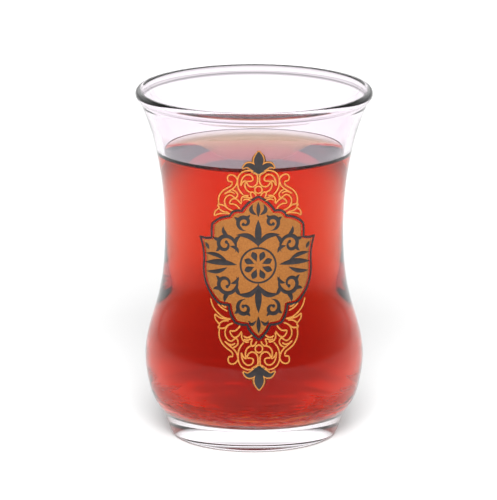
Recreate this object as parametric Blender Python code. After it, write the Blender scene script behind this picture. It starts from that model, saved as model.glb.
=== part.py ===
"""A waisted tea glass filled with black tea, with a medallion printed on its front.

Metres, +Z up. The origin is on the glass's axis, on the surface that the foot stands on, and -Y is the front.
The glass and the tea are turned from profiles. The print is cut flat at its real size and wrapped onto the glass.
"""

import math

import bmesh
import bpy
import numpy as np

MM = 0.001

# The glass, outside
GLASS_HEIGHT = 84.0 * MM
RIM_RADIUS = 28.1 * MM
LIP_HALF_WIDTH = 0.9 * MM
LIP_HALF_HEIGHT = 1.15 * MM
NECK_TOP_RADIUS = 27.1 * MM
WAIST_RADIUS = 21.25 * MM
WAIST_HEIGHT = 50.0 * MM
BELLY_RADIUS = 26.05 * MM
BELLY_HEIGHT = 18.5 * MM
FOOT_TOP_RADIUS = 22.3 * MM
FOOT_TOP_HEIGHT = 6.3 * MM
FOOT_BASE_RADIUS = 20.0 * MM
FOOT_ROUNDING = 1.1 * MM

# The glass, underneath and inside
STANDING_RING_INNER = 15.0 * MM
PUNT_DEPTH = 0.7 * MM
FLOOR_HEIGHT = 6.7 * MM
FLOOR_RADIUS = 16.5 * MM
FLOOR_CORNER = 5.6 * MM
NECK_WALL = 1.8 * MM
BELLY_WALL = 2.2 * MM
BELLY_WALL_TOP = 34.0 * MM

# The tea
TEA_LEVEL = 68.4 * MM
MENISCUS_RISE = 0.8 * MM
MENISCUS_REACH = 2.2 * MM
CLEARANCE = 0.3 * MM

# The print. It is a little right of the front, and its pieces are raised so that they are solids
PRINT_TURN = math.radians(2.6)
PRINT_THICKNESS = 0.3 * MM
PRINT_CELL = 3.6 * MM
BORDER_WIDTH = 0.55 * MM
FIELD_INSET = 0.7 * MM
TOP_FINIAL_HEIGHT = 68.9 * MM
LOW_FINIAL_HEIGHT = 22.6 * MM

SEGMENTS = 60


def natural_spline(stations):
    """A natural cubic spline through (place, value) stations, as a function of place."""
    x, y = np.array(stations, float).T
    h = np.diff(x)
    slope = np.diff(y) / h
    system = np.eye(len(x))
    bend = np.zeros(len(x))
    for i in range(1, len(x) - 1):
        system[i, i - 1 : i + 2] = h[i - 1], 2 * (h[i - 1] + h[i]), h[i]
        bend[i] = 6 * (slope[i] - slope[i - 1])
    second = np.linalg.solve(system, bend)

    def value(at):
        i = int(np.clip(np.searchsorted(x, at) - 1, 0, len(h) - 1))
        a, b = (x[i + 1] - at) / h[i], (at - x[i]) / h[i]
        sag = ((a**3 - a) * second[i] + (b**3 - b) * second[i + 1]) * h[i] ** 2 / 6
        return float(a * y[i] + b * y[i + 1] + sag)

    return value


def halfway(low, high, share):
    """The point that lies the given share of the way from low to high."""
    return low + (high - low) * share


NECK_TOP = GLASS_HEIGHT - 2.7 * MM
outer_radius = natural_spline(
    [
        (FOOT_TOP_HEIGHT, FOOT_TOP_RADIUS),
        (halfway(FOOT_TOP_HEIGHT, BELLY_HEIGHT, 0.18), 23.8 * MM),
        (halfway(FOOT_TOP_HEIGHT, BELLY_HEIGHT, 0.47), 25.1 * MM),
        (BELLY_HEIGHT, BELLY_RADIUS),
        (halfway(BELLY_HEIGHT, WAIST_HEIGHT, 0.21), 25.3 * MM),
        (halfway(BELLY_HEIGHT, WAIST_HEIGHT, 0.46), 23.05 * MM),
        (halfway(BELLY_HEIGHT, WAIST_HEIGHT, 0.71), 21.65 * MM),
        (WAIST_HEIGHT, WAIST_RADIUS),
        (halfway(WAIST_HEIGHT, NECK_TOP, 0.32), 21.75 * MM),
        (halfway(WAIST_HEIGHT, NECK_TOP, 0.61), 23.2 * MM),
        (halfway(WAIST_HEIGHT, NECK_TOP, 0.8), 24.75 * MM),
        (NECK_TOP, NECK_TOP_RADIUS),
    ]
)


def wall_thickness(height):
    """The wall is thicker in the belly than in the neck, and changes smoothly between them."""
    share = np.clip((height - BELLY_HEIGHT) / (BELLY_WALL_TOP - BELLY_HEIGHT), 0, 1)
    share = share * share * (3 - 2 * share)
    return halfway(BELLY_WALL, NECK_WALL, share)


def inner_radius(height):
    """The inner wall stands the wall's thickness inside the outer one."""
    return outer_radius(height) - wall_thickness(height)


def arc(centre, radii, start, end, steps):
    """Points on an oval's arc in a profile, with angles in degrees from the outward direction."""
    angles = np.radians(np.linspace(start, end, steps + 1))
    return [(centre[0] + radii[0] * math.cos(a), centre[1] + radii[1] * math.sin(a)) for a in angles]


def inner_profile(inset, top):
    """The hollow's side from the middle of its floor up to the height top, taken in by inset."""
    floor = FLOOR_HEIGHT + inset
    corner_top = FLOOR_HEIGHT + FLOOR_CORNER
    corner_out = inner_radius(corner_top) - inset
    corner_in = FLOOR_RADIUS - inset
    points = [(0.0, floor), (corner_in, floor)]
    for angle in np.radians(np.linspace(0, 90, 5)[1:]):
        across = halfway(corner_in, corner_out, math.sin(angle))
        points.append((across, halfway(floor, corner_top, 1 - math.cos(angle))))
    heights = np.linspace(corner_top, top, 12)[1:]
    return points + [(inner_radius(z) - inset, float(z)) for z in heights]


def glass_profile():
    """Up the inside from the floor's middle, over the rim, down the outside and under the foot to the axis."""
    lip = (RIM_RADIUS - LIP_HALF_WIDTH, GLASS_HEIGHT - LIP_HALF_HEIGHT)
    inside = inner_profile(0.0, NECK_TOP)
    rim = arc(lip, (LIP_HALF_WIDTH, LIP_HALF_HEIGHT), 180, -45, 10)
    outside = [(outer_radius(z), float(z)) for z in np.linspace(NECK_TOP, FOOT_TOP_HEIGHT, 22)]
    heel = (FOOT_BASE_RADIUS - FOOT_ROUNDING, FOOT_ROUNDING)
    foot = arc(heel, (FOOT_ROUNDING, FOOT_ROUNDING), -15, -90, 3)
    ring = STANDING_RING_INNER
    punt = [(ring * share, PUNT_DEPTH * (1 - share**2)) for share in (1.0, 0.8, 0.45, 0.0)]
    return inside + rim + outside + foot + punt


def tea_profile():
    """From the middle of the surface out to the meniscus, then down the glass's inside to the axis."""
    side = inner_profile(CLEARANCE, TEA_LEVEL + MENISCUS_RISE)
    edge = side[-1][0]
    surface = [(0.0, TEA_LEVEL), (edge - MENISCUS_REACH, TEA_LEVEL)]
    for share in (0.5, 0.8):
        surface.append((edge - MENISCUS_REACH * (1 - share), TEA_LEVEL + MENISCUS_RISE * share**3))
    return surface + side[::-1]


def finish_material(name, colour, roughness, metallic=0.0, transmission=0.0, ior=1.5):
    """A Principled material of one colour."""
    material = bpy.data.materials.new(name)
    material.use_nodes = True
    shader = material.node_tree.nodes["Principled BSDF"]
    shader.inputs["Base Color"].default_value = (*colour, 1.0)
    shader.inputs["Roughness"].default_value = roughness
    shader.inputs["Metallic"].default_value = metallic
    shader.inputs["Transmission Weight"].default_value = transmission
    shader.inputs["IOR"].default_value = ior
    return material


def add_object(name, mesh, material, parent):
    """Links a mesh to the scene as a named part."""
    mesh.materials.append(material)
    part = bpy.data.objects.new(name, mesh)
    part.parent = parent
    bpy.context.scene.collection.objects.link(part)
    return part


def turned(name, profile, material, parent):
    """A solid of revolution: the profile's edges, spun about Z by a Screw modifier."""
    mesh = bpy.data.meshes.new(name)
    edges = [(i, i + 1) for i in range(len(profile) - 1)]
    mesh.from_pydata([(radius, 0.0, height) for radius, height in profile], edges, [])
    part = add_object(name, mesh, material, parent)
    screw = part.modifiers.new("Screw", "SCREW")
    screw.steps = SEGMENTS
    screw.render_steps = SEGMENTS
    screw.use_merge_vertices = True
    screw.merge_threshold = 0.00001
    screw.use_smooth_shade = True
    return part


def bulged(start, end, bulge, steps=4):
    """Points from start towards end along an arc that stands bulge to the left of the straight line."""
    start, end = np.array(start), np.array(end)
    chord = end - start
    normal = np.array([-chord[1], chord[0]]) / np.linalg.norm(chord)
    shares = np.arange(steps) / steps
    return [tuple(start + chord * s + normal * bulge * 4 * s * (1 - s)) for s in shares]


def shield_half():
    """The right half of the medallion's outline, from its top point down to its lowest, as (across, height)."""
    corners = [
        ((0.0, 62.9), 0.5),
        ((3.85, 59.2), 0.75),
        ((6.7, 57.9), 0.55),
        ((11.1, 55.9), 0.0),
        ((11.1, 52.4), -0.35),
        ((14.5, 52.4), -0.3),
        ((13.4, 46.5), 1.35),
        ((9.6, 36.9), 0.3),
        ((6.95, 36.8), 0.35),
        ((5.6, 32.7), 0.3),
        ((2.7, 32.2), 0.35),
    ]
    lowest = (0.0, 29.0)
    ends = [place for place, _ in corners[1:]] + [lowest]
    points = []
    for (start, bulge), end in zip(corners, ends):
        points += bulged(start, end, bulge, 4 if bulge else 1)
    return [(across * MM, height * MM) for across, height in points + [lowest]]


def mirrored(half):
    """A closed outline from its right half, whose first and last points are on the middle line."""
    return half + [(-across, height) for across, height in half[-2:0:-1]]


def finial_outline(base, up):
    """A bud between two leaves, standing on base. up is 1 if it points up and -1 if it hangs."""
    half = [(0.0, 0.0), (1.15, 0.0)]
    half += bulged((1.3, 0.2), (3.5, 1.75), -0.3)
    half += bulged((3.5, 1.75), (1.15, 1.65), 0.3)
    half += bulged((1.15, 1.65), (0.0, 5.4), -0.35)
    half.append((0.0, 5.4))
    return mirrored([(across * MM, base + up * height * MM) for across, height in half])


def inset_outline(points, distance):
    """Moves every point of a closed clockwise outline inwards by about the distance."""
    ring = np.array(points)
    before, after = np.roll(ring, 1, axis=0), np.roll(ring, -1, axis=0)
    along = after - before
    along /= np.linalg.norm(along, axis=1)[:, None]
    inwards = np.stack([along[:, 1], -along[:, 0]], axis=1)
    moved = ring + inwards * distance
    return [tuple(point) for point in moved]


def wrapped(across, height, raised):
    """Where a point of the flat print lies once it is wrapped round the glass, raised off its surface."""
    radius = outer_radius(height)
    angle = across / radius + PRINT_TURN
    reach = radius + CLEARANCE + raised
    return (reach * math.sin(angle), -reach * math.cos(angle), height)


def printed(name, outline, material, parent, hole=None):
    """A thin solid cut to an outline and wrapped onto the front of the glass. A hole leaves a band."""
    shape = bmesh.new()
    rings = [outline] if hole is None else [outline, hole]
    for ring in rings:
        corners = [shape.verts.new((across, 0.0, height)) for across, height in ring]
        for i, corner in enumerate(corners):
            shape.edges.new((corners[i - 1], corner))
    bmesh.ops.triangle_fill(shape, use_beauty=True, edges=shape.edges[:], normal=(0, -1, 0))
    lows = [min(v.co[axis] for v in shape.verts) for axis in (0, 2)]
    highs = [max(v.co[axis] for v in shape.verts) for axis in (0, 2)]
    for axis, low, high in zip((0, 2), lows, highs):
        direction = (1, 0, 0) if axis == 0 else (0, 0, 1)
        for place in np.arange(low + PRINT_CELL, high, PRINT_CELL):
            everything = shape.verts[:] + shape.edges[:] + shape.faces[:]
            cut = tuple(float(place) * part for part in direction)
            bmesh.ops.bisect_plane(shape, geom=everything, plane_co=cut, plane_no=direction, dist=2e-5)
    bmesh.ops.triangulate(shape, faces=shape.faces[:])
    raised = bmesh.ops.extrude_face_region(shape, geom=shape.faces[:])
    front = {v for v in raised["geom"] if isinstance(v, bmesh.types.BMVert)}
    for vert in shape.verts:
        vert.co = wrapped(vert.co.x, vert.co.z, PRINT_THICKNESS if vert in front else 0.0)
    bmesh.ops.recalc_face_normals(shape, faces=shape.faces[:])
    mesh = bpy.data.meshes.new(name)
    shape.to_mesh(mesh)
    shape.free()
    return add_object(name, mesh, material, parent)


def build():
    """Clears the scene and makes every part."""
    for old in list(bpy.data.objects):
        bpy.data.objects.remove(old)
    root = bpy.data.objects.new("tea_glass", None)
    bpy.context.scene.collection.objects.link(root)

    clear = finish_material("soda_lime_glass", (0.97, 0.98, 0.98), 0.02, transmission=1.0, ior=1.52)
    brewed = finish_material("black_tea", (0.55, 0.05, 0.015), 0.05, ior=1.333)
    gold = finish_material("gold_lustre", (0.66, 0.30, 0.055), 0.4, metallic=0.6)
    ink = finish_material("dark_enamel", (0.035, 0.025, 0.04), 0.45)

    turned("glass", glass_profile(), clear, root)
    turned("tea", tea_profile(), brewed, root)

    shield = mirrored(shield_half())
    printed("medallion_field", inset_outline(shield, FIELD_INSET), gold, root)
    outside = inset_outline(shield, -BORDER_WIDTH / 2)
    inside = inset_outline(shield, BORDER_WIDTH / 2)
    printed("medallion_border", outside, ink, root, hole=inside)
    printed("finial_top", finial_outline(TOP_FINIAL_HEIGHT, 1), ink, root)
    printed("finial_bottom", finial_outline(LOW_FINIAL_HEIGHT, -1), ink, root)


build()
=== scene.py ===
# %% [markdown]
# # A waisted glass of black tea
#
# This lesson dresses a imported CAD part, a small glass filled with tea, so that it looks like a photograph of
# one. Clear things are drawn by what light does inside them, so most of the work is in three places: true
# wall thicknesses, a liquid that meets the wall without an air gap, and a studio that gives the edges
# something to bend. The first step loads the CAD part, which fixes every size, and notes its box. The box's
# tea height is printed beside the new tea's edge further on.

# %% Load the frame
import math

import bpy
import numpy as np
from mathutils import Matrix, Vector


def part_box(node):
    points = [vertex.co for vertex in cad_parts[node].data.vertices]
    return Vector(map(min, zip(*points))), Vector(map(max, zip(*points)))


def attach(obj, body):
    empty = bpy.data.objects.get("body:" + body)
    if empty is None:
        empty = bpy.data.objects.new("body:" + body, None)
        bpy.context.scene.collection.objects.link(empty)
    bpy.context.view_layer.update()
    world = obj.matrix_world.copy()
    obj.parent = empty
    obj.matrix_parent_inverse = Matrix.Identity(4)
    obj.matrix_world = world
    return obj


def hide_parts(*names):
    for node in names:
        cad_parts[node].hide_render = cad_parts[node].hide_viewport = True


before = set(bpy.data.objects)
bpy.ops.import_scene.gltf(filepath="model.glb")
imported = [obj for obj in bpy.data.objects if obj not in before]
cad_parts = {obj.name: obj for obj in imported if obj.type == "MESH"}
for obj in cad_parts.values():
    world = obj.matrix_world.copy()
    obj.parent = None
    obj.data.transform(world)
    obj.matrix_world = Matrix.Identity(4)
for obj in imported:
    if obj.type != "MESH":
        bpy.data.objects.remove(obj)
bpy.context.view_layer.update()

MM = 0.001
_, glass_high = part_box("glass")
_, tea_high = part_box("tea")
GLASS_HEIGHT = glass_high.z
RIM_RADIUS = glass_high.x
print("glass", round(GLASS_HEIGHT / MM, 1), "mm tall,", round(2 * RIM_RADIUS / MM, 1), "mm across the rim")

# %% [markdown]
# The camera stands where the photographer's did: 1.2 m in front, a little above, with a long lens, so that
# the rim shows as a flat oval and the sides hardly converge. It is turned a hair to the left, because the
# glass stands slightly right of the picture's middle. Placing it first lets every later piece be judged from
# the right place.

# %% Camera
CAMERA_DISTANCE = 1.2
CAMERA_HEIGHT = 0.3467
CAMERA_PITCH = 14.133
CAMERA_YAW = 0.0637
CAMERA_LENS = 373.9
CAMERA_SENSOR = 36.0


def new_object(name, data):
    """Makes an object that holds the given mesh, camera or light, and links it to the scene."""
    made = bpy.data.objects.new(name, data)
    bpy.context.scene.collection.objects.link(made)
    return made


lens = bpy.data.cameras.new("studio_lens")
lens.lens = CAMERA_LENS
lens.sensor_width = CAMERA_SENSOR
camera = new_object("studio_camera", lens)
camera.location = (0.0, -CAMERA_DISTANCE, CAMERA_HEIGHT)
camera.rotation_euler = (math.radians(90 - CAMERA_PITCH), 0.0, math.radians(CAMERA_YAW))
bpy.context.scene.camera = camera
print("camera looks down by", CAMERA_PITCH, "degrees")

# %% [markdown]
# The glass's outline comes from a few measured stations, joined by a natural cubic spline. Such a curve bends
# as little as it can, as blown glass does, so twelve stations are enough for the whole swell from foot to
# lip.

# %% The outside curve of the glass
def natural_spline(stations):
    """A cubic through each (place, value): no bend at its ends, no jump of slope or bend between pieces."""
    places, values = np.array(stations, float).T
    gaps = np.diff(places)
    slopes = np.diff(values) / gaps
    system = np.eye(len(places))
    bends = np.zeros(len(places))
    inner = np.arange(1, len(places) - 1)
    system[inner, inner - 1] = gaps[:-1]
    system[inner, inner] = 2 * (gaps[:-1] + gaps[1:])
    system[inner, inner + 1] = gaps[1:]
    bends[inner] = 6 * np.diff(slopes)
    second = np.linalg.solve(system, bends)

    def value(at):
        at = np.asarray(at, float)
        i = np.clip(np.searchsorted(places, at) - 1, 0, len(gaps) - 1)
        a, b = (places[i + 1] - at) / gaps[i], (at - places[i]) / gaps[i]
        sag = ((a**3 - a) * second[i] + (b**3 - b) * second[i + 1]) * gaps[i] ** 2 / 6
        return a * values[i] + b * values[i + 1] + sag

    return value


FOOT_TOP = (6.3 * MM, 22.3 * MM)
BELLY = (18.5 * MM, 26.05 * MM)
WAIST = (50.0 * MM, 21.25 * MM)
NECK_TOP = (GLASS_HEIGHT - 2.7 * MM, RIM_RADIUS - 1.0 * MM)


def between(low, high, share):
    """The height that lies the given share of the way from one station to the next."""
    return low[0] + (high[0] - low[0]) * share


outer_radius = natural_spline(
    [
        FOOT_TOP,
        (between(FOOT_TOP, BELLY, 0.18), 23.8 * MM),
        (between(FOOT_TOP, BELLY, 0.47), 25.1 * MM),
        BELLY,
        (between(BELLY, WAIST, 0.21), 25.3 * MM),
        (between(BELLY, WAIST, 0.46), 23.05 * MM),
        (between(BELLY, WAIST, 0.71), 21.65 * MM),
        WAIST,
        (between(WAIST, NECK_TOP, 0.32), 21.75 * MM),
        (between(WAIST, NECK_TOP, 0.61), 23.2 * MM),
        (between(WAIST, NECK_TOP, 0.8), 24.75 * MM),
        NECK_TOP,
    ]
)
print("waist", round(2 * float(outer_radius(WAIST[0])) / MM, 1), "mm across")

# %% [markdown]
# A pressed and blown glass is thicker low down. The wall goes smoothly from its belly thickness to its neck
# thickness, and the hollow's floor meets the wall in a round corner above a thick solid foot.

# %% The inside curve of the glass
NECK_WALL = 1.8 * MM
BELLY_WALL = 2.2 * MM
BELLY_WALL_TOP = 34.0 * MM
FLOOR_HEIGHT = 6.7 * MM
FLOOR_RADIUS = 16.5 * MM
FLOOR_CORNER = 5.6 * MM
CORNER_TOP = FLOOR_HEIGHT + FLOOR_CORNER
FLOOR_STEPS = 15
CORNER_STEPS = 28
WALL_STEPS = 150


def inner_radius(height):
    """The outer radius less the wall, whose thickness follows a smooth step from the belly to the neck."""
    share = np.clip((height - BELLY[0]) / (BELLY_WALL_TOP - BELLY[0]), 0, 1)
    wall = BELLY_WALL + (NECK_WALL - BELLY_WALL) * share**2 * (3 - 2 * share)
    return outer_radius(height) - wall


def oval_arc(centre, radii, start, end, steps):
    """Points (radius, height) on an oval, with angles in degrees from the outward direction."""
    angle = np.radians(np.linspace(start, end, steps))
    return np.stack([centre[0] + radii[0] * np.cos(angle), centre[1] + radii[1] * np.sin(angle)], axis=1)


def hollow_side(top):
    """(radius, height) from the floor's middle, round the quarter-oval corner and up the wall to top."""
    floor_radii = np.linspace(0, FLOOR_RADIUS, FLOOR_STEPS, endpoint=False)
    floor = np.stack([floor_radii, np.full(FLOOR_STEPS, FLOOR_HEIGHT)], axis=1)
    reach = inner_radius(CORNER_TOP) - FLOOR_RADIUS
    corner = oval_arc((FLOOR_RADIUS, CORNER_TOP), (reach, FLOOR_CORNER), -90, 0, CORNER_STEPS)
    heights = np.linspace(CORNER_TOP, top, WALL_STEPS)[1:]
    wall = np.stack([inner_radius(heights), heights], axis=1)
    return np.concatenate([floor, corner, wall])


print("wall", NECK_WALL / MM, "mm in the neck and", BELLY_WALL / MM, "mm in the belly")

# %% [markdown]
# Every turned piece is the same surface: a profile carried round the axis. The grid has one row for each
# profile point and one column for each step round. The two ends of the profile lie on the axis, and each is
# one shared vertex, so the surface is closed and light can tell its inside from its outside.

# %% A surface turned from a profile
TURN_STEPS = 192


def piece_from(name, vertices, faces, smooth=True):
    """Makes a mesh object at the origin from an array of vertices and a list of face arrays."""
    mesh = bpy.data.meshes.new(name)
    mesh.from_pydata(vertices.tolist(), [], [face for group in faces for face in group.tolist()])
    mesh.polygons.foreach_set("use_smooth", np.full(len(mesh.polygons), smooth))
    mesh.update()
    return new_object(name, mesh)


def turned(name, profile):
    """(r, z) at the angle a becomes (r cos a, r sin a, z). The first and last points lie on the axis."""
    angle = np.linspace(0, 2 * np.pi, TURN_STEPS, endpoint=False)
    rings = profile[1:-1]
    around = np.stack([np.cos(angle), np.sin(angle)], axis=1)
    grid = np.empty((len(rings), TURN_STEPS, 3))
    grid[:, :, :2] = rings[:, None, :1] * around[None]
    grid[:, :, 2] = rings[:, 1:]
    poles = np.array([[0, 0, profile[0, 1]], [0, 0, profile[-1, 1]]])
    vertices = np.concatenate([grid.reshape(-1, 3), poles])
    number = np.arange(len(rings) * TURN_STEPS).reshape(len(rings), TURN_STEPS)
    following = np.roll(number, -1, axis=1)
    sides = np.stack([number[:-1], number[1:], following[1:], following[:-1]], axis=-1).reshape(-1, 4)
    first, last = len(vertices) - 2, len(vertices) - 1
    start = np.stack([np.full(TURN_STEPS, first), number[0], following[0]], axis=1)
    end = np.stack([np.full(TURN_STEPS, last), following[-1], number[-1]], axis=1)
    return piece_from(name, vertices, [sides, start, end])


# %% [markdown]
# The glass runs up the inside, over the fire-polished lip, down the outside and under the foot. The lip is a
# small oval bead, a little thicker than the wall, because melted glass draws together there. Under the foot a
# shallow hollow leaves a ring to stand on. Each arc is given by its first and last angle in degrees and its
# number of points.

# %% The glass
LIP_HALF_WIDTH = 0.9 * MM
LIP_HALF_HEIGHT = 1.15 * MM
LIP_ARC = (175, -45, 24)
LIP_BLEND = 0.5 * MM
OUTSIDE_STEPS = 180
FOOT_BASE_RADIUS = 20.0 * MM
FOOT_ROUNDING = 1.1 * MM
HEEL_ARC = (-10, -90, 12)
RING_INNER = 15.0 * MM
PUNT_DEPTH = 0.7 * MM
PUNT_STEPS = 14


def glass_profile():
    """The whole section of the glass, from the floor's middle round to the underside's middle."""
    lip_centre = (RIM_RADIUS - LIP_HALF_WIDTH, GLASS_HEIGHT - LIP_HALF_HEIGHT)
    inside = hollow_side(NECK_TOP[0] - LIP_BLEND)
    lip = oval_arc(lip_centre, (LIP_HALF_WIDTH, LIP_HALF_HEIGHT), *LIP_ARC)
    heights = np.linspace(NECK_TOP[0], FOOT_TOP[0], OUTSIDE_STEPS)
    outside = np.stack([outer_radius(heights), heights], axis=1)
    heel_centre = (FOOT_BASE_RADIUS - FOOT_ROUNDING, FOOT_ROUNDING)
    heel = oval_arc(heel_centre, (FOOT_ROUNDING, FOOT_ROUNDING), *HEEL_ARC)
    share = np.linspace(1, 0, PUNT_STEPS)
    punt = np.stack([RING_INNER * share, PUNT_DEPTH * (1 - share**2) ** 2], axis=1)
    return np.concatenate([inside, lip, outside, heel, punt])


glass = turned("tea_glass", glass_profile())
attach(glass, "root")
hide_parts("glass")
print("glass has", len(glass.data.polygons), "faces")

# %% [markdown]
# The tea wets the wall, so its surface climbs in a thin rounded edge, the meniscus. Its height falls off
# exponentially away from the wall, as the balance of surface tension and weight makes it. The mesh's rows
# stand closer together towards the wall, where the surface bends. The tea's mesh reaches a little way into
# the glass, so that no film of air shows between them.

# %% The tea
TEA_LEVEL = 68.3 * MM
MENISCUS_RISE = 1.45 * MM
MENISCUS_LENGTH = 1.1 * MM
WALL_OVERLAP = 0.08 * MM


def tea_profile():
    """From the surface's middle out to the wall, then down the hollow's side to the floor's middle."""
    top = TEA_LEVEL + MENISCUS_RISE
    side = hollow_side(top)[::-1].copy()
    edge = float(inner_radius(top))
    radius, height = side.T
    corner = (height <= CORNER_TOP) & (radius > FLOOR_RADIUS)
    angle = np.arctan2(CORNER_TOP - height, radius - FLOOR_RADIUS)
    outwards = WALL_OVERLAP * np.select([corner, height > CORNER_TOP], [np.cos(angle), 1.0], 0.0)
    downwards = WALL_OVERLAP * np.select([corner, radius <= FLOOR_RADIUS], [np.sin(angle), 1.0], 0.0)
    side += np.stack([outwards, -downwards], axis=1)
    level_rows = np.linspace(edge, 6 * MM, 10)
    climbing_rows = np.geomspace(5.5 * MM, 0.02 * MM, 44)
    away = np.concatenate([level_rows, climbing_rows, [0.0]])
    surface = np.stack([edge - away, TEA_LEVEL + MENISCUS_RISE * np.exp(-away / MENISCUS_LENGTH)], axis=1)
    return np.concatenate([surface, side])


tea = turned("black_tea", tea_profile())
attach(tea, "root")
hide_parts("tea")
edge = TEA_LEVEL + MENISCUS_RISE
print("the tea's edge is at", round(edge / MM, 2), "mm, the CAD tea's at", round(tea_high.z / MM, 2), "mm")

# %% [markdown]
# The medallion is printed flat with ceramic ink and gold lustre, then laid round the glass and fired. Here it
# is drawn flat too, in millimetres across and up. One function lays flat points round the glass: the distance
# across becomes an arc of the same length, so nothing stretches, and raised ink stands out along the radius.

# %% Laying the print round the glass
PRINT_TURN = math.radians(2.6)
INK_RELIEF = 0.045
FIRED_IN = -0.006
SECTION = np.array([-1, -0.62, 0, 0.62, 1, 0.62, 0, -0.62])
SIDES = len(SECTION)


def on_glass(across, height, raised):
    """At the height z the angle is across / r(z) plus the print's turn, and the reach is r(z) + raised."""
    radius = outer_radius(height * MM)
    angle = across * MM / radius + PRINT_TURN
    reach = radius + raised * MM
    return np.stack([reach * np.sin(angle), -reach * np.cos(angle), height * MM], axis=-1)


def flowing(points, step=0.22):
    """Even steps along a natural spline through given points, whose parameter is the chord length."""
    points = np.array(points, float)
    lengths = np.concatenate([[0], np.cumsum(np.hypot(*np.diff(points, axis=0).T))])
    even = np.linspace(0, lengths[-1], int(lengths[-1] / step) + 3)
    curves = [natural_spline(np.stack([lengths, points[:, k]], axis=1)) for k in (0, 1)]
    return np.stack([curve(even) for curve in curves], axis=1)


def pen(path, width):
    """A line's width along its path: constant, and rounded off over the last half width at each end."""
    length = np.hypot(*np.diff(path, axis=0).T).sum()
    share = np.linspace(0, 1, len(path))
    end = np.clip(np.minimum(share, 1 - share) * length / (0.5 * width), 0, 1)
    return width * np.clip(np.sqrt(1 - (1 - end) ** 2), 0.15, 1)


def brush(path, width, fullest=0.5):
    """A leaf's width along its path: a sine swell that is widest at the share given as fullest."""
    share = np.linspace(0, 1, len(path)) ** (math.log(0.5) / math.log(fullest))
    return width * np.clip(np.sin(np.pi * share) ** 0.85, 0.07, 1)


def to_the_right(path, closed):
    """Unit vectors to the right of a path: (y, -x) of its direction, from each point's two neighbours."""
    if closed:
        along = np.roll(path, -1, axis=0) - np.roll(path, 1, axis=0)
    else:
        along = np.gradient(path, axis=0)
    along = along / np.hypot(*along.T)[:, None]
    return np.stack([along[:, 1], -along[:, 0]], axis=1)


def inked(path, width, relief=INK_RELIEF, base=FIRED_IN, closed=False):
    """A lens-shaped section (s, 1 - s squared) carried along a flat path, then laid round the glass.

    Returns its vertices and faces. Open lines are capped, closed ones join up with themselves."""
    sideways = to_the_right(path, closed)
    half_width = np.broadcast_to(width, len(path)) / 2
    lift = np.where(np.arange(SIDES) < SIDES // 2, 1 - SECTION**2, 0)
    flat = path[:, None] + sideways[:, None] * half_width[:, None, None] * SECTION[:, None]
    raised = base + (relief - base) * np.broadcast_to(lift, flat.shape[:2])
    vertices = on_glass(flat[..., 0], flat[..., 1], raised).reshape(-1, 3)
    number = np.arange(len(vertices)).reshape(len(path), SIDES)
    nearer = number if closed else number[:-1]
    further = np.roll(number, -1, axis=0) if closed else number[1:]
    beside = np.roll(nearer, -1, axis=1)
    faces = [np.stack([nearer, beside, np.roll(further, -1, axis=1), further], axis=-1).reshape(-1, 4)]
    if not closed:
        faces += [number[:1, ::-1], number[-1:]]
    return vertices, faces


def joined(name, marks):
    """One piece from many marks of ink, whose face numbers are moved up past the vertices before them."""
    vertices, faces, count = [], [], 0
    for points, groups in marks:
        vertices.append(points)
        faces += [group + count for group in groups]
        count += len(points)
    return piece_from(name, np.concatenate(vertices), faces)


def mirrored(path):
    """The same path on the other side of the medallion's middle line."""
    return path * [-1, 1]


print("the print is turned", round(math.degrees(PRINT_TURN), 1), "degrees to the right")

# %% [markdown]
# The shield is a traditional cusped outline. Its right half is a row of corners, each joined to the next by a
# shallow arc, and the left half mirrors it. The gold field fills a slightly smaller copy with a grid: one
# parameter runs down the outline, the other from side to side, so every row of the grid joins a point to its
# mirror image.

# %% The shield
FIELD_INSET = 0.72
FIELD_COLUMNS = 49
FIELD_TIP = 0.02
LEAST_FALL = 0.02
FILM_RELIEF = 0.03
FILM_THICKNESS = 0.02 * MM
BORDER_WIDTH = 0.56
SHIELD_CORNERS = [
    ((0.0, 62.9), 0.45),
    ((3.9, 59.3), 0.7),
    ((6.8, 57.9), 0.5),
    ((11.2, 55.6), 0.1),
    ((11.25, 52.35), -0.25),
    ((14.5, 52.2), -0.35),
    ((13.4, 46.5), 1.4),
    ((9.6, 36.95), 0.2),
    ((7.0, 36.75), 0.35),
    ((5.5, 32.75), 0.2),
    ((2.75, 32.3), 0.35),
]
SHIELD_FOOT = (0.0, 29.0)


def bowed(start, end, bulge, steps=12):
    """Points from start towards end on a parabola that stands bulge to the left of the straight line."""
    start, end = np.array(start), np.array(end)
    chord = end - start
    normal = np.array([-chord[1], chord[0]]) / np.hypot(*chord)
    share = (np.arange(steps) / steps)[:, None]
    return start + chord * share + normal * bulge * 4 * share * (1 - share)


def shield_half():
    """The right half of the outline, from the top point down to the lowest."""
    starts = [place for place, _ in SHIELD_CORNERS]
    ends = starts[1:] + [SHIELD_FOOT]
    arcs = [bowed(start, end, bulge) for start, end, (_, bulge) in zip(starts, ends, SHIELD_CORNERS)]
    return np.concatenate(arcs + [np.array([SHIELD_FOOT])])


def drawn_in(outline, distance):
    """A closed clockwise outline moved inwards: each point shifts to the right of its direction."""
    return outline + to_the_right(outline, closed=True) * distance


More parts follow.
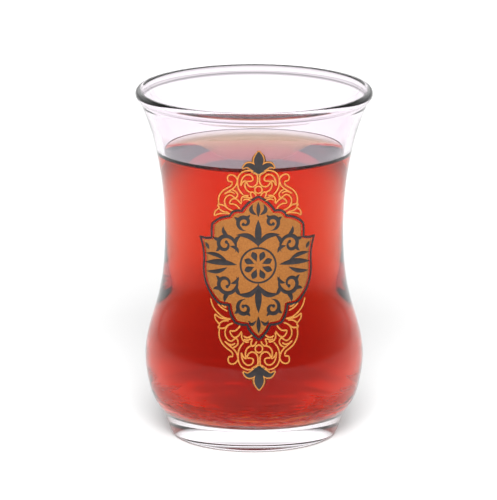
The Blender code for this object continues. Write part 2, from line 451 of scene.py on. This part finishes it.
half = shield_half()
shield = np.concatenate([half, mirrored(half[-2:0:-1])])
field_edge = drawn_in(shield, FIELD_INSET)[: len(half)]
falls = np.maximum(-np.diff(field_edge[:, 1]), LEAST_FALL)
field_edge[1:, 1] = field_edge[0, 1] - np.cumsum(falls) * (field_edge[0, 1] - field_edge[-1, 1]) / falls.sum()
field_edge[[0, -1], 0] = FIELD_TIP
side = np.linspace(-1, 1, FIELD_COLUMNS)
across = field_edge[:, :1] * side
height = np.broadcast_to(field_edge[:, 1:], across.shape)
grid = np.arange(across.size).reshape(across.shape)
quads = np.stack([grid[1:, :-1], grid[1:, 1:], grid[:-1, 1:], grid[:-1, :-1]], axis=-1).reshape(-1, 4)
field = piece_from("medallion_gold_field", on_glass(across, height, FILM_RELIEF).reshape(-1, 3), [quads])
body = field.modifiers.new("film_thickness", "SOLIDIFY")
body.thickness = FILM_THICKNESS
body.offset = -1.0
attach(field, "root")
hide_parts("medallion_field")

border = joined("medallion_dark_border", [inked(shield, BORDER_WIDTH, closed=True)])
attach(border, "root")
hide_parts("medallion_border")
print("shield", round(2 * half[:, 0].max(), 1), "mm wide and", round(half[0, 1] - half[-1, 1], 1), "mm tall")

# %% [markdown]
# Above and below the shield stands a lace of fine gold scrolls. It is drawn once, for the right-hand half of
# the upper lace, as lines through a few points each, measured from the little ring on the middle line.
# Mirroring gives the left half, and turning the heights over gives the lower lace, which has three lines of
# its own besides.

# %% The gold scrollwork
LINE_WIDTH = 0.42
UPPER_RING = 64.65
LOWER_RING = 26.9
UPPER_SQUEEZE = 0.94
RING_RADIUS = 0.86
RING_STEPS = 40
SCROLLS = {
    "big_scroll": [(3.5, -1.45), (4.5, -0.1), (4.88, 1.5), (4.75, 3.0), (4.1, 4.1), (2.8, 4.75), (1.4, 4.6),
                   (0.45, 3.9), (0.22, 2.7), (0.4, 1.5), (1.1, 0.8), (2.0, 0.82), (2.6, 1.4), (2.8, 2.1)],
    "leaf_back": [(2.8, 2.15), (1.95, 2.12), (1.38, 2.4), (1.42, 3.1), (2.0, 3.68), (2.8, 3.7), (3.6, 3.05),
                  (4.0, 2.0), (4.15, 0.85)],
    "leaf_front": [(4.15, 0.85), (3.8, 1.6), (3.3, 2.15), (2.8, 2.3)],
    "inner_arc": [(1.3, -0.75), (2.3, -0.45), (3.0, 0.35), (3.15, 1.4), (2.95, 2.1)],
    "petal_edge": [(3.85, -3.6), (4.0, -2.6), (3.35, -1.65), (2.2, -1.55)],
    "petal_vein": [(3.6, -2.9), (2.8, -2.5), (2.0, -2.75), (1.5, -3.1)],
    "petal_fold": [(3.5, -2.15), (2.65, -1.95), (1.9, -2.2), (1.35, -2.05)],
    "small_leaf": [(0.5, -1.75), (0.9, -0.95), (1.55, -0.62), (1.85, -1.25), (1.45, -2.0)],
    "crook": [(6.05, 1.5), (6.25, 1.85), (6.9, 1.95), (7.2, 2.65), (6.95, 3.4), (6.3, 3.62), (5.5, 3.3),
              (4.95, 2.5), (4.8, 1.9)],
    "outer_side": [(6.05, 1.6), (6.3, 0.95), (7.0, 0.4), (7.95, -0.3), (8.85, -1.5), (9.25, -2.9),
                   (9.1, -4.3)],
    "inner_side": [(4.9, 2.2), (5.2, 1.1), (6.05, 0.05), (7.3, -0.9), (8.0, -1.5)],
    "hook": [(6.1, -0.1), (5.25, -0.6), (4.85, -1.45), (5.3, -2.25), (6.4, -1.6), (7.35, -2.05), (7.85, -3.2),
             (7.7, -4.2), (7.05, -5.15), (5.9, -5.65)],
    "hook_fold": [(7.9, -1.45), (7.05, -0.85), (6.15, -0.8), (5.5, -1.2)],
    "leaf_top": [(6.75, -3.95), (5.75, -3.9), (4.95, -4.35), (4.3, -5.2)],
    "leaf_low": [(6.75, -3.95), (6.45, -3.05), (5.6, -2.45), (4.75, -2.9), (3.95, -3.9)],
    "flare_edge": [(10.15, -7.45), (10.05, -6.3), (9.4, -5.5), (9.1, -5.0), (9.45, -4.5), (8.8, -4.3),
                   (7.8, -4.55), (7.1, -5.2)],
    "flare_back": [(10.15, -7.45), (9.35, -6.85), (7.9, -6.5), (6.5, -6.5)],
    "flare_vein": [(9.15, -5.35), (8.3, -5.95), (6.9, -6.15)],
}
LOWER_ONLY = {
    "sweep": [(11.1, -10.9), (10.65, -9.3), (9.5, -7.8), (7.9, -6.75), (6.4, -6.5)],
    "feather": [(9.5, -9.85), (8.5, -8.95), (7.2, -8.3)],
    "feather_vein": [(8.6, -9.7), (7.9, -9.25), (7.4, -9.2)],
}


def as_printed(path, ring, turn, squeeze=1.0):
    """Turns points seen from the front into flat print: across is the arc whose sine is the seen distance."""
    height = ring + turn * np.where(path[:, 1] < 0, path[:, 1] * squeeze, path[:, 1])
    radius = outer_radius(height * MM) / MM
    return np.stack([radius * np.arcsin(path[:, 0] / radius), height], axis=1)


def lace(lines, ring, turn, squeeze=1.0):
    """Every line of the lace and its mirror image, as marks of ink."""
    marks = []
    for points in lines.values():
        path = as_printed(flowing(points), ring, turn, squeeze)
        for line in (path, mirrored(path)):
            marks.append(inked(line, pen(line, LINE_WIDTH)))
    return marks


around = np.linspace(0, 2 * np.pi, RING_STEPS, endpoint=False)
unit_circle = np.stack([np.cos(around), np.sin(around)], axis=1)
gold_marks = lace(SCROLLS, UPPER_RING, 1, UPPER_SQUEEZE)
gold_marks += lace({**SCROLLS, **LOWER_ONLY}, LOWER_RING, -1)
for ring in (UPPER_RING, LOWER_RING):
    gold_marks.append(inked(RING_RADIUS * unit_circle + [0, ring], LINE_WIDTH, closed=True))
print("the lace has", len(gold_marks), "lines of gold")

# %% [markdown]
# A finial closes each end of the lace: a bud between two leaves, in dark ink with a gold edge. Each leaf is
# one stroke of a brush that swells and tapers. The gold edge is the same stroke laid underneath, a little
# wider all round, which is how such an outline is printed. Each stroke is given by its points, its width and
# the share of its length at which it is widest.

# %% The finials
FINIAL_EDGE = 0.3
EDGE_RELIEF = 0.02
FINIALS = {"finial_top": (69.1, 1), "finial_bottom": (22.45, -1)}
BUD = ([(0.0, -0.5), (0.0, 1.9), (0.0, 5.1)], 2.7, 0.6)
SIDE_LEAF = ([(0.3, 0.1), (1.5, 1.35), (2.6, 1.7), (3.6, 1.0)], 1.75, 0.38)
COLLAR = ([(-1.45, 0.1), (0.0, 0.0), (1.45, 0.1)], 1.3, 0.5)


def finial(base, turn, wider=0.0, relief=INK_RELIEF):
    """The bud, both leaves and the collar where they join, as strokes that may be wider all round."""
    marks = []
    for points, width, fullest in (BUD, SIDE_LEAF, COLLAR):
        path = flowing(points, 0.12)
        last = path[-1] - path[-2]
        longer = path[-1] + last / np.hypot(*last) * wider
        path = np.concatenate([path, longer[None]]) * [1, turn] + [0, base]
        sides = [path] if points[-1][0] == 0 else [path, mirrored(path)]
        marks += [inked(line, brush(line, width, fullest) + 2 * wider, relief) for line in sides]
    return marks


for name, (base, turn) in FINIALS.items():
    gold_marks += finial(base, turn, FINIAL_EDGE, EDGE_RELIEF)
    leaf_ink = joined(name + "_ink", finial(base, turn))
    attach(leaf_ink, "root")
    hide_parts(name)

scrollwork = joined("gold_scrollwork", gold_marks)
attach(scrollwork, "root")
print("finials stand at", [base for base, _ in FINIALS.values()], "mm")

# %% [markdown]
# The middle of the shield holds a dark arabesque of the builder's own: an eight-petalled rosette in a ring,
# leaves that point out from it, and four curling vines on each side with small leaves that sprout from them.
# The strokes are as heavy as the rest of the print, and both sides mirror each other, which makes it plainly
# ornament. A vine is given by its centre, its first and last radius, and its first angle and turn in degrees.
# Each sprout is given by its place along the vine as a share, its length and its width.

# %% The dark arabesque
ROSETTE = np.array((0.0, 46.2))
ROSETTE_RING = 4.15
ROSETTE_LINE = 0.55
PETALS = 8
PETAL_REACH = (0.95, 3.5)
PETAL_WIDTH = 1.7
VINE_WIDTH = 1.15
VINE_END_WIDTH = 1.1
SPROUT_BEND = (0.62, 0.38)
SPROUT_TIP = (0.8, 0.95)
ON_FIELD = {"relief": 0.075, "base": 0.015}
VINES = {
    "upper": ((7.95, 50.9), 3.0, 0.75, 215, -455),
    "lower": ((7.8, 41.6), 3.2, 0.8, 145, 455),
    "foot": ((3.25, 36.0), 2.15, 0.6, 95, -400),
    "head": ((3.2, 56.6), 2.1, 0.6, 262, 400),
}
SPROUTS = {
    "upper": [(0.1, 1.9, 1.1), (0.23, 2.2, 1.2), (0.36, 1.6, 1.0), (0.5, 1.4, 0.9)],
    "lower": [(0.1, 2.0, 1.1), (0.23, 2.1, 1.2), (0.36, 1.6, 1.0), (0.5, 1.4, 0.9)],
    "foot": [(0.25, 1.2, 0.9), (0.5, 1.1, 0.8)],
    "head": [(0.25, 1.2, 0.9), (0.5, 1.1, 0.8)],
}
SIDE_LEAVES = [
    ([(5.0, 46.2), (8.0, 46.6), (13.1, 46.2)], 1.7),
    ([(7.3, 46.9), (9.8, 48.2), (13.0, 48.4)], 1.2),
    ([(7.3, 45.5), (9.6, 44.4), (12.7, 44.1)], 1.2),
    ([(12.0, 49.4), (12.5, 50.3), (13.0, 51.0)], 1.0),
    ([(0.0, 50.9), (2.0, 53.1), (5.2, 53.4)], 1.5),
    ([(0.0, 41.5), (2.0, 39.3), (4.9, 39.3)], 1.5),
    ([(0.4, 58.4), (1.7, 59.6), (1.3, 61.0)], 1.1),
    ([(0.5, 33.3), (1.7, 32.4), (2.4, 33.3)], 0.9),
    ([(4.6, 49.0), (5.2, 50.2), (6.7, 50.6)], 1.0),
    ([(4.6, 43.4), (5.2, 42.2), (6.5, 41.7)], 1.0),
]
MIDDLE_LEAVES = [
    ([(0, 50.5), (0, 53.3), (0, 57.2)], 1.9),
    ([(0, 41.9), (0, 39.0), (0, 35.0)], 1.9),
    ([(0, 57.9), (0, 59.4), (0, 61.6)], 1.1),
    ([(0, 34.2), (0, 32.8), (0, 30.4)], 1.2),
]


def spiral(centre, start_radius, end_radius, start_angle, turn, step=0.2):
    """The radius shrinks evenly in its logarithm while the angle turns, both in step with one parameter."""
    length = abs(math.radians(turn)) * (start_radius + end_radius) / 2
    share = np.linspace(0, 1, int(length / step) + 4)
    radius = start_radius * (end_radius / start_radius) ** share
    angle = np.radians(start_angle + turn * share)
    return np.array(centre) + radius[:, None] * np.stack([np.cos(angle), np.sin(angle)], axis=1)


def vine(path, width):
    """A vine's width along its path: thin at the root, full a third of the way on, a third at the tip."""
    share = np.linspace(0, 1, len(path))
    swell = 0.35 + 0.65 * np.sin(np.pi * share**0.7)
    start = np.clip(share * 8 + 0.2, 0, 1)
    return width * np.clip(swell * start, 0.1, 1)


def sprout(path, share, side, length):
    """A leaf from a vine, rooted at a share of its length and bending away, left for a side of 1."""
    root = int(share * (len(path) - 2))
    along = path[root + 1] - path[root]
    along = along / np.hypot(*along)
    away = side * np.array([-along[1], along[0]])
    bend = (along * SPROUT_BEND[0] + away * SPROUT_BEND[1]) * length
    tip = (along * SPROUT_TIP[0] + away * SPROUT_TIP[1]) * length
    return flowing([path[root], path[root] + bend, path[root] + tip], 0.15)


def on_both_sides(path, width):
    """A stroke on the field and its mirror image."""
    return [inked(line, width, **ON_FIELD) for line in (path, mirrored(path))]


dark_marks = [inked(ROSETTE + ROSETTE_RING * unit_circle, ROSETTE_LINE, closed=True, **ON_FIELD)]
for petal in range(PETALS):
    direction = 2 * np.pi * (petal + 0.5) / PETALS
    path = ROSETTE + np.linspace(*PETAL_REACH, 20)[:, None] * [math.cos(direction), math.sin(direction)]
    dark_marks.append(inked(path, brush(path, PETAL_WIDTH, 0.62), **ON_FIELD))
for name, shape in VINES.items():
    path = spiral(*shape)
    bud = path[-1] + np.linspace(-0.4, 0.4, 8)[:, None] * [1, 0]
    dark_marks += on_both_sides(path, vine(path, VINE_WIDTH)) + on_both_sides(bud, pen(bud, VINE_END_WIDTH))
    for share, length, width in SPROUTS[name]:
        leaf = sprout(path, share, -np.sign(shape[-1]), length)
        dark_marks += on_both_sides(leaf, brush(leaf, width, 0.45))
for points, width in SIDE_LEAVES:
    path = flowing(points, 0.15)
    dark_marks += on_both_sides(path, brush(path, width))
for points, width in MIDDLE_LEAVES:
    path = flowing(points, 0.15)
    dark_marks.append(inked(path, brush(path, width), **ON_FIELD))
arabesque = joined("dark_arabesque", dark_marks)
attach(arabesque, "root")
print("the arabesque has", len(dark_marks), "strokes")

# %% [markdown]
# Five helpers serve the finishes and the light. One turns a hex colour, as a screen shows it, to the linear
# light that Blender works in. One adds a node with its settings, values and links. Two give a colour ramp its
# stops, in colours or in greys. The last one starts a material and puts it on its pieces.

# %% Helpers for materials
def colour(code):
    """sRGB hex to linear RGBA: each channel through the sRGB curve."""
    channels = [int(code[i : i + 2], 16) / 255 for i in (0, 2, 4)]
    linear = [c / 12.92 if c <= 0.04045 else ((c + 0.055) / 1.055) ** 2.4 for c in channels]
    return (*linear, 1.0)


def add(tree, kind, settings={}, values={}, links={}):
    """Adds a node, sets its properties and socket values, and links other nodes' outputs into it."""
    node = tree.nodes.new(kind)
    for name, value in settings.items():
        setattr(node, name, value)
    for name, value in values.items():
        node.inputs[name].default_value = value
    for name, source in links.items():
        tree.links.new(source, node.inputs[name])
    return node


def set_stops(ramp, stops):
    """Gives a colour ramp its stops, each a place and a colour."""
    for place, _ in stops[1:-1]:
        ramp.color_ramp.elements.new(place)
    for stop, (place, shade) in zip(ramp.color_ramp.elements, stops):
        stop.position = place
        stop.color = shade


def greys(levels):
    """Stops for a colour ramp from pairs of a place and a brightness."""
    return [(place, (level, level, level, 1.0)) for place, level in levels]


def material_on(name, *wearers):
    """An empty node material, which takes the next slot of every piece named."""
    material = bpy.data.materials.new(name)
    material.use_nodes = True
    material.node_tree.nodes.clear()
    for piece in wearers:
        piece.data.materials.append(material)
    return material.node_tree


# %% [markdown]
# Soda-lime glass, pressed and fire-polished, is clear and smooth to the eye. Its refractive index is 1.52.
# Mould and flame leave slow waves about 7 mm long, too shallow to feel, which make reflections and refracted
# edges wander a little. The dry faces mirror less head on than bare glass would, because the photograph shows
# hardly any reflection on the front. Above the tea the glass takes on a faint lilac tint over 5 mm, as the
# photograph shows it.
#
# The glass is less even where the belly turns in to the foot. Ripples there follow each other every 9 mm round
# the glass and every 2.4 mm up it, and break the tea into the small glints that the photograph shows near the
# base. Their zone is a ramp over the lowest 20 mm of the glass.
#
# Where tea wets the glass, the two are so alike that hardly any light is mirrored between them. Those faces
# get a second finish, whose mirroring starts from nothing head on and still rises to a full mirror at a
# glance.

# %% Soda-lime glass
GLASS_WAVES = 140.0
WAVE_DEPTH = 0.2 * MM
RIPPLES = (110.0, 110.0, 420.0)
RIPPLE_DEPTH = 0.32 * MM
RIPPLE_HEIGHT = 20.0 * MM
RIPPLE_ZONE = [(0.0, 0.0), (0.33, 0.0), (0.42, 1.0), (0.5, 1.0), (0.68, 0.0)]
TINT_HEIGHT = 5.0 * MM
DRY_MIRRORING = (0.4, 0.4, 0.4, 1.0)
WET_MIRRORING = (0.0, 0.0, 0.0, 1.0)
SLACK = 0.01 * MM


def clear_glass(name, mirroring):
    """Glass with slow waves, low ripples and a tint above the tea, whose head-on mirroring is scaled."""
    tree = material_on(name, glass)
    place = add(tree, "ShaderNodeTexCoord")
    waves = add(
        tree,
        "ShaderNodeTexNoise",
        values={"Scale": GLASS_WAVES, "Detail": 1.0},
        links={"Vector": place.outputs["Object"]},
    )
    waver = add(
        tree,
        "ShaderNodeBump",
        values={"Strength": 0.05, "Distance": WAVE_DEPTH},
        links={"Height": waves.outputs["Fac"]},
    )
    parts = add(tree, "ShaderNodeSeparateXYZ", links={"Vector": place.outputs["Object"]})
    stretched = add(
        tree,
        "ShaderNodeVectorMath",
        settings={"operation": "MULTIPLY"},
        values={1: RIPPLES},
        links={0: place.outputs["Object"]},
    )
    ripple = add(
        tree,
        "ShaderNodeTexNoise",
        values={"Scale": 1.0, "Detail": 2.0},
        links={"Vector": stretched.outputs["Vector"]},
    )
    low = add(
        tree,
        "ShaderNodeMapRange",
        values={"From Max": RIPPLE_HEIGHT},
        links={"Value": parts.outputs["Z"]},
    )
    zone = add(tree, "ShaderNodeValToRGB", links={"Fac": low.outputs["Result"]})
    set_stops(zone, greys(RIPPLE_ZONE))
    depth = add(
        tree,
        "ShaderNodeMath",
        settings={"operation": "MULTIPLY"},
        links={0: ripple.outputs["Fac"], 1: zone.outputs["Color"]},
    )
    rippled = add(
        tree,
        "ShaderNodeBump",
        values={"Strength": 1.0, "Distance": RIPPLE_DEPTH},
        links={"Height": depth.outputs["Value"], "Normal": waver.outputs["Normal"]},
    )
    above_tea = add(
        tree,
        "ShaderNodeMapRange",
        values={"From Min": TEA_LEVEL, "From Max": TEA_LEVEL + TINT_HEIGHT},
        links={"Value": parts.outputs["Z"]},
    )
    tint = add(tree, "ShaderNodeValToRGB", links={"Fac": above_tea.outputs["Result"]})
    set_stops(tint, [(0.0, colour("fefafe")), (1.0, colour("fcf4fb"))])
    clear = add(
        tree,
        "ShaderNodeBsdfPrincipled",
        values={
            "Roughness": 0.0,
            "IOR": 1.52,
            "Transmission Weight": 1.0,
            "Specular Tint": mirroring,
        },
        links={"Base Color": tint.outputs["Color"], "Normal": rippled.outputs["Normal"]},
    )
    add(tree, "ShaderNodeOutputMaterial", links={"Surface": clear.outputs["BSDF"]})


def face_places(piece):
    """The distance from the axis and the height of the middle of every face."""
    centres = np.empty(3 * len(piece.data.polygons))
    piece.data.polygons.foreach_get("center", centres)
    centres = centres.reshape(-1, 3)
    return np.hypot(centres[:, 0], centres[:, 1]), centres[:, 2]


def under_tea(radius, height):
    """The glass's hollow up to the tea's edge: inside the middle of the wall, and no lower than the floor."""
    inside = radius < outer_radius(height) - NECK_WALL / 2
    return inside & (height > FLOOR_HEIGHT - SLACK) & (height < TEA_LEVEL + MENISCUS_RISE)


clear_glass("soda_lime_glass", DRY_MIRRORING)
clear_glass("soda_lime_glass_under_tea", WET_MIRRORING)
slots = under_tea(*face_places(glass)).astype(np.int32)
glass.data.polygons.foreach_set("material_index", slots)
print(slots.sum(), "faces of the glass are under tea")

# %% [markdown]
# Brewed black tea is water with a dissolved dye. The surface is colourless, and the colour comes from depth:
# the dye halves blue in 2.7 mm, green in 6.5 mm, and red only in 54 mm. The absorption is given per metre, so
# thin edges come out orange and the full width deep red, with no painted gradient. Here too the faces that
# touch the glass mirror nothing head on. They share one finish with the open top, told apart by a mark on
# each face, because a ray has to leave the dye through the same material by which it came in.

# %% Brewed black tea
TEA_DYE = (0.951, 0.592, 0.0, 1.0)
TEA_STRENGTH = 260.0


def open_top(radius, height):
    """The tea's own surface: the faces inside the wall and above the level. The rest touch the glass."""
    return (radius < inner_radius(height)) & (height > TEA_LEVEL - SLACK)


def mark_faces(piece, name, chosen):
    """Stores 1 on the faces that a function of distance from the axis and height chooses, 0 elsewhere."""
    radius, height = face_places(piece)
    mark = piece.data.attributes.new(name, "FLOAT", "FACE")
    mark.data.foreach_set("value", chosen(radius, height).astype(np.float32))


mark_faces(tea, "open_top", open_top)
tree = material_on("brewed_black_tea", tea)
top = add(tree, "ShaderNodeAttribute", settings={"attribute_name": "open_top"})
water = add(
    tree,
    "ShaderNodeBsdfPrincipled",
    values={"Base Color": colour("ffffff"), "Roughness": 0.0, "IOR": 1.333, "Transmission Weight": 1.0},
    links={"Specular Tint": top.outputs["Fac"]},
)
dye = add(tree, "ShaderNodeVolumeAbsorption", values={"Color": TEA_DYE, "Density": TEA_STRENGTH})
add(
    tree,
    "ShaderNodeOutputMaterial",
    links={"Surface": water.outputs["BSDF"], "Volume": dye.outputs["Volume"]},
)
halving = [math.log(2) / (TEA_STRENGTH * (1 - share)) for share in TEA_DYE[:3]]
print("red, green and blue are halved in", [round(depth / MM, 1) for depth in halving], "mm of tea")

# %% [markdown]
# Gold lustre is a film of metal in resin, screen-printed and fired. It shines softly, because the film is
# full of grains and pinholes of a few hundredths of a millimetre. The grain here is coarser than the real
# one, so that it shows as the faint mottle that the photograph has. The thin lines of the scrollwork look
# brighter there than the broad field does, so they have a lighter pair of colours. That lighter copy of the
# same gold is painted light.

# %% Gold lustre print
GOLD_GRAIN = 2600.0
GOLD_LOOKS = [
    ("gold_lustre_field", field, "8f5621", "a96c30"),
    # The lines' lighter pair is painted light: the same gold as the field, with extra brightness in its
    # colour.
    ("gold_lustre_lines_painted_light", scrollwork, "b87432", "d9964c"),
]

for name, piece, low, high in GOLD_LOOKS:
    tree = material_on(name, piece)
    place = add(tree, "ShaderNodeTexCoord")
    grain = add(
        tree,
        "ShaderNodeTexNoise",
        values={"Scale": GOLD_GRAIN, "Detail": 3.0, "Roughness": 0.6},
        links={"Vector": place.outputs["Object"]},
    )
    mottle = add(tree, "ShaderNodeValToRGB", links={"Fac": grain.outputs["Fac"]})
    set_stops(mottle, [(0.3, colour(low)), (0.7, colour(high))])
    grit = add(
        tree,
        "ShaderNodeBump",
        values={"Strength": 0.25, "Distance": 0.03 * MM},
        links={"Height": grain.outputs["Fac"]},
    )
    gold = add(
        tree,
        "ShaderNodeBsdfPrincipled",
        values={"Roughness": 0.5, "Metallic": 0.35},
        links={"Base Color": mottle.outputs["Color"], "Normal": grit.outputs["Normal"]},
    )
    add(tree, "ShaderNodeOutputMaterial", links={"Surface": gold.outputs["BSDF"]})
print("the gold's grains are", round(1 / GOLD_GRAIN / MM, 2), "mm apart")

# %% [markdown]
# The dark strokes are ceramic enamel: a finely ground coloured glass that melts onto the surface in the kiln.
# It is nearly black, a little warmer than neutral, and has a satin face with slight differences in thickness.

# %% Dark enamel print
ENAMEL_FLOW = 900.0
dark_pieces = [border, arabesque] + [bpy.data.objects[name + "_ink"] for name in FINIALS]
tree = material_on("dark_enamel_print", *dark_pieces)
place = add(tree, "ShaderNodeTexCoord")
flow = add(
    tree,
    "ShaderNodeTexNoise",
    values={"Scale": ENAMEL_FLOW, "Detail": 2.0},
    links={"Vector": place.outputs["Object"]},
)
depth = add(tree, "ShaderNodeValToRGB", links={"Fac": flow.outputs["Fac"]})
set_stops(depth, [(0.3, colour("171213")), (0.75, colour("272124"))])
skin = add(
    tree,
    "ShaderNodeBump",
    values={"Strength": 0.2, "Distance": 0.03 * MM},
    links={"Height": flow.outputs["Fac"]},
)
enamel = add(
    tree,
    "ShaderNodeBsdfPrincipled",
    values={"Roughness": 0.42, "IOR": 1.5},
    links={"Base Color": depth.outputs["Color"], "Normal": skin.outputs["Normal"]},
)
add(tree, "ShaderNodeOutputMaterial", links={"Surface": enamel.outputs["BSDF"]})
print("dark enamel is on", len(dark_pieces), "pieces")

# %% [markdown]
# Glass shows its surroundings, so the studio is part of the picture. A pale floor reaches past the view on
# all sides. Tea is seen by the light that comes through it, and from the camera's height that light comes
# from the floor behind the glass. So the floor is what gives the tea its brightness, row by row: the neck
# shows the floor far behind, and the belly shows the floor close behind.

# %% The floor
FLOOR_SIZE = 6.0
PAPER_FIBRE = 400.0
corners = FLOOR_SIZE / 2 * np.array([[-1, -1, 0], [1, -1, 0], [1, 1, 0], [-1, 1, 0]])
floor = piece_from("studio_floor", corners, [np.array([[0, 1, 2, 3]])], smooth=False)
tree = material_on("matt_white_paper", floor)
place = add(tree, "ShaderNodeTexCoord")
fibre = add(
    tree,
    "ShaderNodeTexNoise",
    values={"Scale": PAPER_FIBRE, "Detail": 2.0},
    links={"Vector": place.outputs["Object"]},
)
tooth = add(
    tree,
    "ShaderNodeBump",
    values={"Strength": 0.03, "Distance": 0.1 * MM},
    links={"Height": fibre.outputs["Fac"]},
)
paper = add(
    tree,
    "ShaderNodeBsdfPrincipled",
    values={"Base Color": colour("f4f4f4"), "Roughness": 0.9, "Specular IOR Level": 0.1},
    links={"Normal": tooth.outputs["Normal"]},
)
add(tree, "ShaderNodeOutputMaterial", links={"Surface": paper.outputs["BSDF"]})
print("floor", FLOOR_SIZE, "m across")

# %% [markdown]
# One key light stands between the camera and the glass, higher than both. It lights the print, and its shadow
# falls straight behind the glass, where it shows mostly through the tea: that makes the belly darker than the
# neck, as in the photograph. A box over the floor 0.6 m behind the glass lights it there and casts no shadow.
# Mirrored and refracted rays don't see the key, as if it stood behind a polarising sheet, so there is no
# glare on the glass. The room itself is a background whose brightness depends on direction alone: dim behind
# the camera, and behind the glass a bright band low down, which the foot, the rim and the tea's surface
# mirror.

# %% The light
ROOM_BACK = 1.4
ROOM_FRONT = 0.35
ROOM_TURN = 0.8
SKY = [(0.0, 0.65), (0.1, 0.45), (0.2, 0.92), (0.38, 0.92), (0.5, 0.45), (0.7, 0.3)]

world = bpy.data.worlds.new("light_tent")
bpy.context.scene.world = world
world.use_nodes = True
tree = world.node_tree
tree.nodes.clear()
direction = add(tree, "ShaderNodeTexCoord")
parts = add(tree, "ShaderNodeSeparateXYZ", links={"Vector": direction.outputs["Generated"]})
upwards = add(tree, "ShaderNodeValToRGB", links={"Fac": parts.outputs["Z"]})
upwards.color_ramp.interpolation = "EASE"
set_stops(upwards, greys(SKY))
brightness = add(
    tree,
    "ShaderNodeMapRange",
    settings={"interpolation_type": "SMOOTHSTEP"},
    values={"From Min": 0.0, "From Max": ROOM_TURN, "To Min": ROOM_FRONT / ROOM_BACK},
    links={"Value": parts.outputs["Y"], "To Max": upwards.outputs["Color"]},
)
glow = add(
    tree,
    "ShaderNodeBackground",
    values={"Strength": ROOM_BACK},
    links={"Color": brightness.outputs["Result"]},
)
add(tree, "ShaderNodeOutputWorld", links={"Surface": glow.outputs["Background"]})


def soft_box(name, place, target, size, power, glare=False, shadows=True):
    """A square area light at a place, aimed at a target, with its size in metres and its power in watts."""
    light = bpy.data.lights.new(name, "AREA")
    light.shape = "SQUARE"
    light.size = size
    light.energy = power
    light.use_shadow = shadows
    lamp = new_object(name, light)
    lamp.location = place
    aim = Vector(target) - Vector(place)
    lamp.rotation_euler = aim.to_track_quat("-Z", "Y").to_euler()
    lamp.visible_glossy = glare
    lamp.visible_transmission = False


soft_box(
    "soft_box_behind",
    place=(0.0, 0.6, 0.5),
    target=(0.0, 0.6, 0.0),
    size=0.5,
    power=2.4,
    glare=True,
    shadows=False,
)
soft_box("key_in_front", place=(0.0, -0.76, 0.58), target=(0.0, 0.0, GLASS_HEIGHT / 2), size=0.4, power=11.4)
bpy.context.scene.view_settings.view_transform = "Standard"
print("the room is", ROOM_BACK, "behind the glass and", ROOM_FRONT, "behind the camera")
